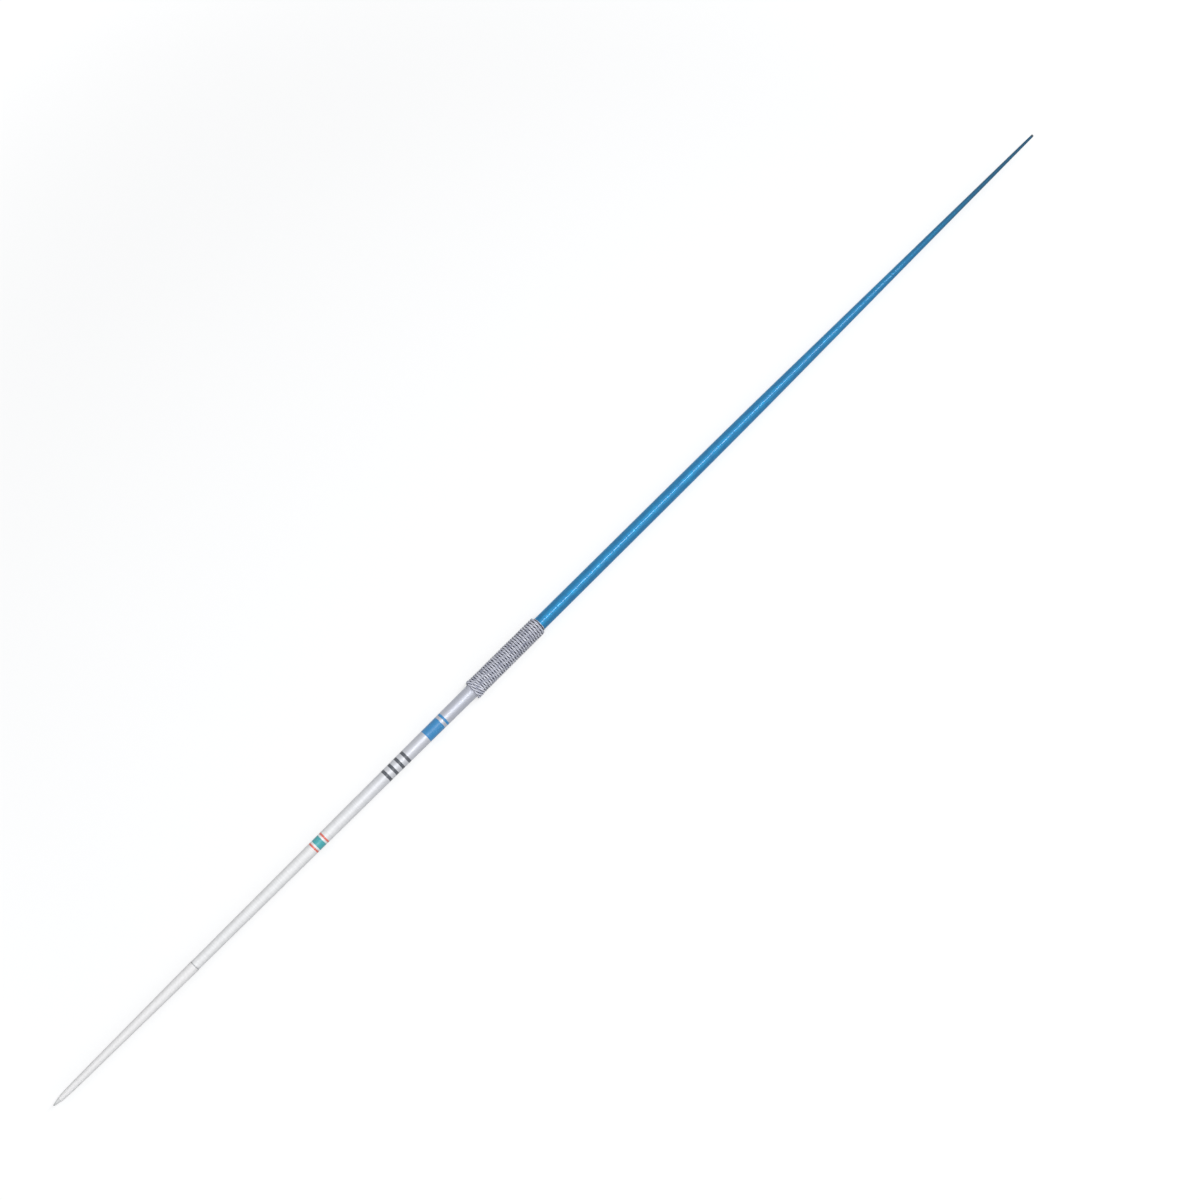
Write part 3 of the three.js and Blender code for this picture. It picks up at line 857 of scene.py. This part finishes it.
turns = LAST_TURN - FIRST_TURN
steps = int(turns * POINTS_PER_TURN)
strands = []
for strand in range(STRANDS):
    path = bpy.data.curves.new(f"strand_{strand + 1}", "CURVE")
    path.dimensions = "3D"
    path.bevel_depth = MM
    path.bevel_resolution = 4
    path.use_fill_caps = True
    spline = path.splines.new("POLY")
    spline.points.add(steps)
    for number, point in enumerate(spline.points):
        point.co, point.radius = strand_point(strand, FIRST_TURN + turns * number / steps)
    strand_object = bpy.data.objects.new(f"strand_{strand + 1}", path)
    bpy.context.collection.objects.link(strand_object)
    strands.append(strand_object)
bpy.ops.object.select_all(action="DESELECT")
for strand_object in strands:
    strand_object.select_set(True)
bpy.context.view_layer.objects.active = strands[0]
bpy.ops.object.convert(target="MESH")
bpy.ops.object.join()
grip_cord = bpy.context.object
grip_cord.name = "wound_cord"
grip_cord.data.name = "wound_cord"
for vertex in grip_cord.data.vertices:
    vertex.co.z = max(vertex.co.z, 0.0)
bpy.ops.object.shade_smooth()

# Twisted polyester cord, silver-grey with a cool cast. Each strand is spun from twelve yarns of
# half a millimetre that run on a slant round it, and the grooves are painted darker, as shade.
twisted_polyester = new_material("silver_grey_twisted_polyester")
tree = twisted_polyester.node_tree
coordinates = add_node(tree, "ShaderNodeTexCoord")
around = add_node(tree, "ShaderNodeSeparateXYZ", (), {0: coordinates.outputs["UV"]})
slant = add_node(tree, "ShaderNodeMath", {"operation": "MULTIPLY", 1: -YARN_TURNS}, {
    0: around.outputs["X"],
})
spiral = add_node(tree, "ShaderNodeMath", {"operation": "ADD"}, {
    0: around.outputs["Y"], 1: slant.outputs[0],
})
yarn_angle = add_node(tree, "ShaderNodeMath", {"operation": "MULTIPLY", 1: YARNS * math.pi}, {
    0: spiral.outputs[0],
})
yarn_wave = add_node(tree, "ShaderNodeMath", {"operation": "SINE"}, {0: yarn_angle.outputs[0]})
yarns = add_node(tree, "ShaderNodeMath", {"operation": "ABSOLUTE"}, {0: yarn_wave.outputs[0]})
fuzz = add_node(tree, "ShaderNodeTexNoise", {"Scale": FUZZ_GRAINS, "Detail": 4.0}, {
    "Vector": coordinates.outputs["Object"],
})
hand_soil = add_node(tree, "ShaderNodeTexNoise", {"Scale": HAND_SOIL_PATCHES, "Detail": 4.0}, {
    "Vector": coordinates.outputs["Object"],
})
yarn_height = add_node(tree, "ShaderNodeMath", {"operation": "MULTIPLY_ADD", 1: 0.6}, {
    0: yarns.outputs[0], 2: fuzz.outputs["Fac"],
})
yarn_share = add_node(tree, "ShaderNodeMapRange", {
    "From Max": 0.6, "To Min": 0.45, "To Max": 0.0,
}, {"Value": yarns.outputs[0]})
soil_share = add_node(tree, "ShaderNodeMapRange", {"From Min": 0.35, "From Max": 0.7}, {
    "Value": hand_soil.outputs["Fac"],
})
clean_tone = add_node(tree, "ShaderNodeMix", {
    "data_type": "RGBA", "A": paint("e7e9f4"), "B": paint("9b9fb2"),
}, {"Factor": soil_share.outputs["Result"]})
yarn_tone = add_node(tree, "ShaderNodeMix", {"data_type": "RGBA", "B": paint("7d8193")}, {
    "Factor": yarn_share.outputs["Result"], "A": clean_tone.outputs["Result"],
})
from_axis = add_node(tree, "ShaderNodeMapping", {
    "Location": (0, 0, -AXIS_HEIGHT), "Scale": (0, 1, 1),
}, {"Vector": coordinates.outputs["Object"]})
distance = add_node(tree, "ShaderNodeVectorMath", {"operation": "LENGTH"}, {
    0: from_axis.outputs[0],
})
# Painted shade: the cord darkens towards its grooves, the nearer it lies to the tape.
groove_shade = add_node(tree, "ShaderNodeMapRange", {
    "From Min": GROOVE_FLOOR * MM, "From Max": GROOVE_TOP * MM, "To Min": 1.0, "To Max": 0.0,
}, {"Value": distance.outputs["Value"]})
tone = add_node(tree, "ShaderNodeMix", {"data_type": "RGBA", "B": paint("3c404f")}, {
    "Factor": groove_shade.outputs["Result"], "A": yarn_tone.outputs["Result"],
})
relief = add_node(tree, "ShaderNodeBump", {"Strength": 0.5, "Distance": 0.12 * MM}, {
    "Height": yarn_height.outputs[0],
})
polyester = add_node(tree, "ShaderNodeBsdfPrincipled", {
    "Roughness": 0.42, "Sheen Weight": 0.15, "Sheen Roughness": 0.4,
}, {"Base Color": tone.outputs["Result"], "Normal": relief.outputs["Normal"]})
add_node(tree, "ShaderNodeOutputMaterial", (), {"Surface": polyester.outputs[0]})
grip_cord.data.materials.clear()
grip_cord.data.materials.append(twisted_polyester)
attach(grip_cord, "root")
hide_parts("grip_cord")


# Balance plug and joint sleeve: a steel slug in the neck of the front tube, and a short
# aluminium tube that bridges the two shafts under the grip. Both are bonded in and neither shows.
SAW_RINGS = 1200
SAW_RING_RUNS = 20


def machined_metal(name, colour_hex, dull_hex):
    """Bare metal straight from the saw and lathe, with coarse rings and a dull film."""
    metal = new_material(name)
    tree = metal.node_tree
    place = add_node(tree, "ShaderNodeTexCoord").outputs["Object"]
    rings_scale = add_node(tree, "ShaderNodeMapping", {
        "Scale": (SAW_RINGS, SAW_RING_RUNS, SAW_RING_RUNS),
    }, {"Vector": place})
    rings = add_node(tree, "ShaderNodeTexNoise", {"Scale": 1.0, "Detail": 4.0}, {
        "Vector": rings_scale.outputs[0],
    })
    tone = add_node(tree, "ShaderNodeMix", {
        "data_type": "RGBA", "A": paint(colour_hex), "B": paint(dull_hex),
    }, {"Factor": rings.outputs["Fac"]})
    relief = add_node(tree, "ShaderNodeBump", {"Strength": 0.4, "Distance": 0.06 * MM}, {
        "Height": rings.outputs["Fac"],
    })
    skin = add_node(tree, "ShaderNodeBsdfPrincipled", {"Metallic": 1.0, "Roughness": 0.45}, {
        "Base Color": tone.outputs["Result"], "Normal": relief.outputs["Normal"],
    })
    add_node(tree, "ShaderNodeOutputMaterial", (), {"Surface": skin.outputs[0]})
    return metal


hidden_pieces = {
    "balance_plug": machined_metal("sawn_mild_steel", "85898d", "6a6d70"),
    "joint_sleeve": machined_metal("drawn_plain_aluminium", "bcbfc3", "a2a5a9"),
}
for node_name, metal in hidden_pieces.items():
    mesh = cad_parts[node_name].data
    mesh.materials.clear()
    mesh.materials.append(metal)
